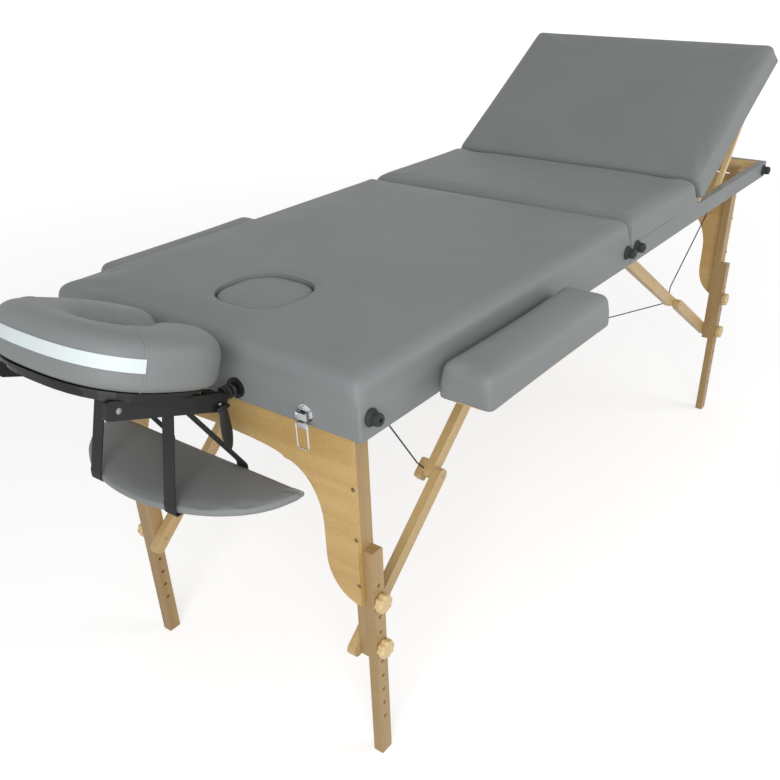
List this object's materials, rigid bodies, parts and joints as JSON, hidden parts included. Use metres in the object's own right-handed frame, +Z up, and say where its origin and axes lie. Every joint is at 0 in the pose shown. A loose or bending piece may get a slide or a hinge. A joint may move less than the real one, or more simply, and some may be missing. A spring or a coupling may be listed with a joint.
{
  "type": "massage table",
  "caption": "Folding wooden massage table with padded sections, lifting backrest, face cradle, hanging arm shelf, side armrests, arched leg panels, folding braces and crossing cables",
  "frame": {"origin": "on the floor, under the middle of the bounding box", "axes": "+X along the table towards the foot end; +Y towards the left side, seen from the head end looking to the foot end; +Z up"},
  "size_m": [2.1376, 0.9356, 1.0919],
  "materials": {
    "vinyl": "matt grey vinyl over foam",
    "pale_wood": "clear satin lacquer",
    "leg_wood": "clear satin lacquer",
    "knob_wood": "clear satin lacquer",
    "plywood": "bare plywood",
    "black_plastic": "fine texture",
    "rubber": "matt",
    "black_steel": "black",
    "steel": "plain",
    "chrome": "polished"
  },
  "bodies": {
    "head_half": {"head_frame": "pale_wood", "head_deck": "plywood", "head_pad": "vinyl", "rod_sockets": "black_plastic", "head_bumper_outer": "rubber", "head_bumper_fold": "rubber", "head_hinge_leaf": "steel", "centre_hinge_pin": "steel", "latch_plate": "chrome", "cable_head_right": "black_steel", "cable_head_left": "black_steel"},
    "foot_half": {"foot_frame": "pale_wood", "foot_deck": "plywood", "foot_pad": "vinyl", "foot_bumper_fold": "rubber", "foot_bumper_outer": "rubber", "foot_hinge_leaf": "steel", "backrest_hinge": "steel"},
    "backrest": {"backrest_board": "plywood", "backrest_pad": "vinyl"},
    "prop": {"backrest_prop": "pale_wood"},
    "head_legs": {"head_leg_panel": "pale_wood", "head_right_leg": "leg_wood", "head_left_leg": "leg_wood"},
    "head_upper_arms": {"head_upper_arm_right": "leg_wood", "head_upper_arm_left": "leg_wood"},
    "head_lower_arms": {"head_lower_arm_right": "leg_wood", "head_lower_arm_left": "leg_wood"},
    "head_right_extension": {"head_right_extension": "leg_wood"},
    "head_left_extension": {"head_left_extension": "leg_wood"},
    "head_right_upper_knob": {"head_right_upper_knob": "knob_wood"},
    "head_right_lower_knob": {"head_right_lower_knob": "knob_wood"},
    "head_left_upper_knob": {"head_left_upper_knob": "knob_wood"},
    "head_left_lower_knob": {"head_left_lower_knob": "knob_wood"},
    "foot_legs": {"foot_leg_panel": "pale_wood", "foot_right_leg": "leg_wood", "foot_left_leg": "leg_wood"},
    "foot_upper_arms": {"foot_upper_arm_right": "leg_wood", "foot_upper_arm_left": "leg_wood"},
    "foot_lower_arms": {"foot_lower_arm_right": "leg_wood", "foot_lower_arm_left": "leg_wood"},
    "foot_right_extension": {"foot_right_extension": "leg_wood"},
    "foot_left_extension": {"foot_left_extension": "leg_wood"},
    "foot_right_upper_knob": {"foot_right_upper_knob": "knob_wood"},
    "foot_right_lower_knob": {"foot_right_lower_knob": "knob_wood"},
    "foot_left_upper_knob": {"foot_left_upper_knob": "knob_wood"},
    "foot_left_lower_knob": {"foot_left_lower_knob": "knob_wood"},
    "headrest": {"cradle_rods": "black_steel"},
    "cradle": {"cradle_frame": "black_plastic", "cushion_board": "plywood", "face_cushion": "vinyl"},
    "arm_shelf": {"arm_shelf": "vinyl"},
    "cam_lever": {"cam_lever": "black_plastic"},
    "plug": {"breathing_plug": "vinyl"},
    "armrest_right": {"armrest_board_right": "pale_wood", "armrest_pad_right": "vinyl"},
    "armrest_left": {"armrest_board_left": "pale_wood", "armrest_pad_left": "vinyl"},
    "latch_lever": {"latch_lever": "chrome"},
    "latch_bail": {"latch_bail": "chrome"}
  },
  "joints": [
    {"name": "table_fold", "type": "hinge", "parent": "head_half", "child": "foot_half", "pos_m": [0.13581, 0, 0.7357], "axis": [0, 1, 0], "range_deg": [0, 90], "deforming": ["cable_head_right", "cable_head_left"]},
    {"name": "head_legs_fold", "type": "hinge", "parent": "head_half", "child": "head_legs", "pos_m": [-0.72718, 0, 0.7595], "axis": [0, 1, 0], "range_deg": [-90, 0]},
    {"name": "head_upper_arms_fold", "type": "hinge", "parent": "head_half", "child": "head_upper_arms", "pos_m": [-0.16418, 0, 0.7595], "axis": [0, 1, 0], "range_deg": [0, 40.84]},
    {"name": "head_lower_arms_fold", "type": "hinge", "parent": "head_legs", "child": "head_lower_arms", "pos_m": [-0.72718, 0, 0.273], "axis": [0, 1, 0], "range_deg": [-49.18, 0]},
    {"name": "foot_legs_fold", "type": "hinge", "parent": "foot_half", "child": "foot_legs", "pos_m": [0.99882, 0, 0.7595], "axis": [0, 1, 0], "range_deg": [0, 90]},
    {"name": "foot_upper_arms_fold", "type": "hinge", "parent": "foot_half", "child": "foot_upper_arms", "pos_m": [0.21582, 0, 0.7595], "axis": [0, 1, 0], "range_deg": [-31.86, 0]},
    {"name": "foot_lower_arms_fold", "type": "hinge", "parent": "foot_legs", "child": "foot_lower_arms", "pos_m": [0.99882, 0, 0.273], "axis": [0, 1, 0], "range_deg": [0, 58.15]},
    {"name": "head_right_extension_slide", "type": "slide", "parent": "head_legs", "child": "head_right_extension", "axis": [0, 0, -1], "range_m": [-0.1775, 0.0355]},
    {"name": "head_left_extension_slide", "type": "slide", "parent": "head_legs", "child": "head_left_extension", "axis": [0, 0, -1], "range_m": [-0.1775, 0.0355]},
    {"name": "foot_right_extension_slide", "type": "slide", "parent": "foot_legs", "child": "foot_right_extension", "axis": [0, 0, -1], "range_m": [-0.1775, 0.0355]},
    {"name": "foot_left_extension_slide", "type": "slide", "parent": "foot_legs", "child": "foot_left_extension", "axis": [0, 0, -1], "range_m": [-0.1775, 0.0355]},
    {"name": "head_right_upper_knob_turn", "type": "hinge", "parent": "head_legs", "child": "head_right_upper_knob", "pos_m": [-0.72718, -0.3354, 0.3795], "axis": [0, 1, 0], "continuous": true},
    {"name": "head_right_lower_knob_turn", "type": "hinge", "parent": "head_legs", "child": "head_right_lower_knob", "pos_m": [-0.72718, -0.3354, 0.273], "axis": [0, 1, 0], "continuous": true},
    {"name": "head_left_upper_knob_turn", "type": "hinge", "parent": "head_legs", "child": "head_left_upper_knob", "pos_m": [-0.72718, 0.3354, 0.3795], "axis": [0, 1, 0], "continuous": true},
    {"name": "head_left_lower_knob_turn", "type": "hinge", "parent": "head_legs", "child": "head_left_lower_knob", "pos_m": [-0.72718, 0.3354, 0.273], "axis": [0, 1, 0], "continuous": true},
    {"name": "foot_right_upper_knob_turn", "type": "hinge", "parent": "foot_legs", "child": "foot_right_upper_knob", "pos_m": [0.99882, -0.3354, 0.3795], "axis": [0, 1, 0], "continuous": true},
    {"name": "foot_right_lower_knob_turn", "type": "hinge", "parent": "foot_legs", "child": "foot_right_lower_knob", "pos_m": [0.99882, -0.3354, 0.273], "axis": [0, 1, 0], "continuous": true},
    {"name": "foot_left_upper_knob_turn", "type": "hinge", "parent": "foot_legs", "child": "foot_left_upper_knob", "pos_m": [0.99882, 0.3354, 0.3795], "axis": [0, 1, 0], "continuous": true},
    {"name": "foot_left_lower_knob_turn", "type": "hinge", "parent": "foot_legs", "child": "foot_left_lower_knob", "pos_m": [0.99882, 0.3354, 0.273], "axis": [0, 1, 0], "continuous": true},
    {"name": "backrest_tilt", "type": "hinge", "parent": "foot_half", "child": "backrest", "pos_m": [0.53582, 0, 0.7828], "axis": [0, -1, 0], "range_deg": [-30.5, 7]},
    {"name": "prop_swing", "type": "hinge", "parent": "backrest", "child": "prop", "pos_m": [0.9194, 0, 0.99853], "axis": [0, -1, 0], "range_deg": [-21.01, 4.83]},
    {"name": "headrest_slide", "type": "slide", "parent": "head_half", "child": "headrest", "axis": [-1, 0, 0], "range_m": [0, 0.05]},
    {"name": "cradle_tilt", "type": "hinge", "parent": "headrest", "child": "cradle", "pos_m": [-0.84918, 0, 0.762], "axis": [0, 1, 0], "range_deg": [-35, 12]},
    {"name": "arm_shelf_swing", "type": "hinge", "parent": "cradle", "child": "arm_shelf", "pos_m": [-0.90224, 0, 0.77705], "axis": [0, 1, 0], "range_deg": [-12, 35]},
    {"name": "cam_lever_turn", "type": "hinge", "parent": "headrest", "child": "cam_lever", "pos_m": [-0.84918, -0.1315, 0.758], "axis": [-1, 0, 0], "range_deg": [0, 90]},
    {"name": "plug_lift", "type": "slide", "parent": "head_half", "child": "plug", "axis": [0, 0, 1], "range_m": [0, 0.08]},
    {"name": "armrest_right_slide", "type": "slide", "parent": "head_half", "child": "armrest_right", "axis": [0, -1, 0], "range_m": [0, 0.05]},
    {"name": "armrest_left_slide", "type": "slide", "parent": "head_half", "child": "armrest_left", "axis": [0, 1, 0], "range_m": [0, 0.05]},
    {"name": "latch_lever_turn", "type": "hinge", "parent": "head_half", "child": "latch_lever", "pos_m": [-0.80249, -0.25, 0.76], "axis": [0, 1, 0], "range_deg": [0, 120]},
    {"name": "latch_bail_turn", "type": "hinge", "parent": "latch_lever", "child": "latch_bail", "pos_m": [-0.80558, -0.25, 0.749], "axis": [0, 1, 0], "range_deg": [0, 60]}
  ],
  "couplings": [
    {"joint": "head_upper_arms_fold", "follows": "head_legs_fold", "ratio": -0.45368},
    {"joint": "head_lower_arms_fold", "follows": "head_legs_fold", "ratio": 0.54632},
    {"joint": "foot_upper_arms_fold", "follows": "foot_legs_fold", "ratio": -0.35393},
    {"joint": "foot_lower_arms_fold", "follows": "foot_legs_fold", "ratio": 0.64607},
    {"joint": "prop_swing", "follows": "backrest_tilt", "ratio": 0.68852},
    {"joint": "arm_shelf_swing", "follows": "cradle_tilt", "ratio": -1}
  ]
}
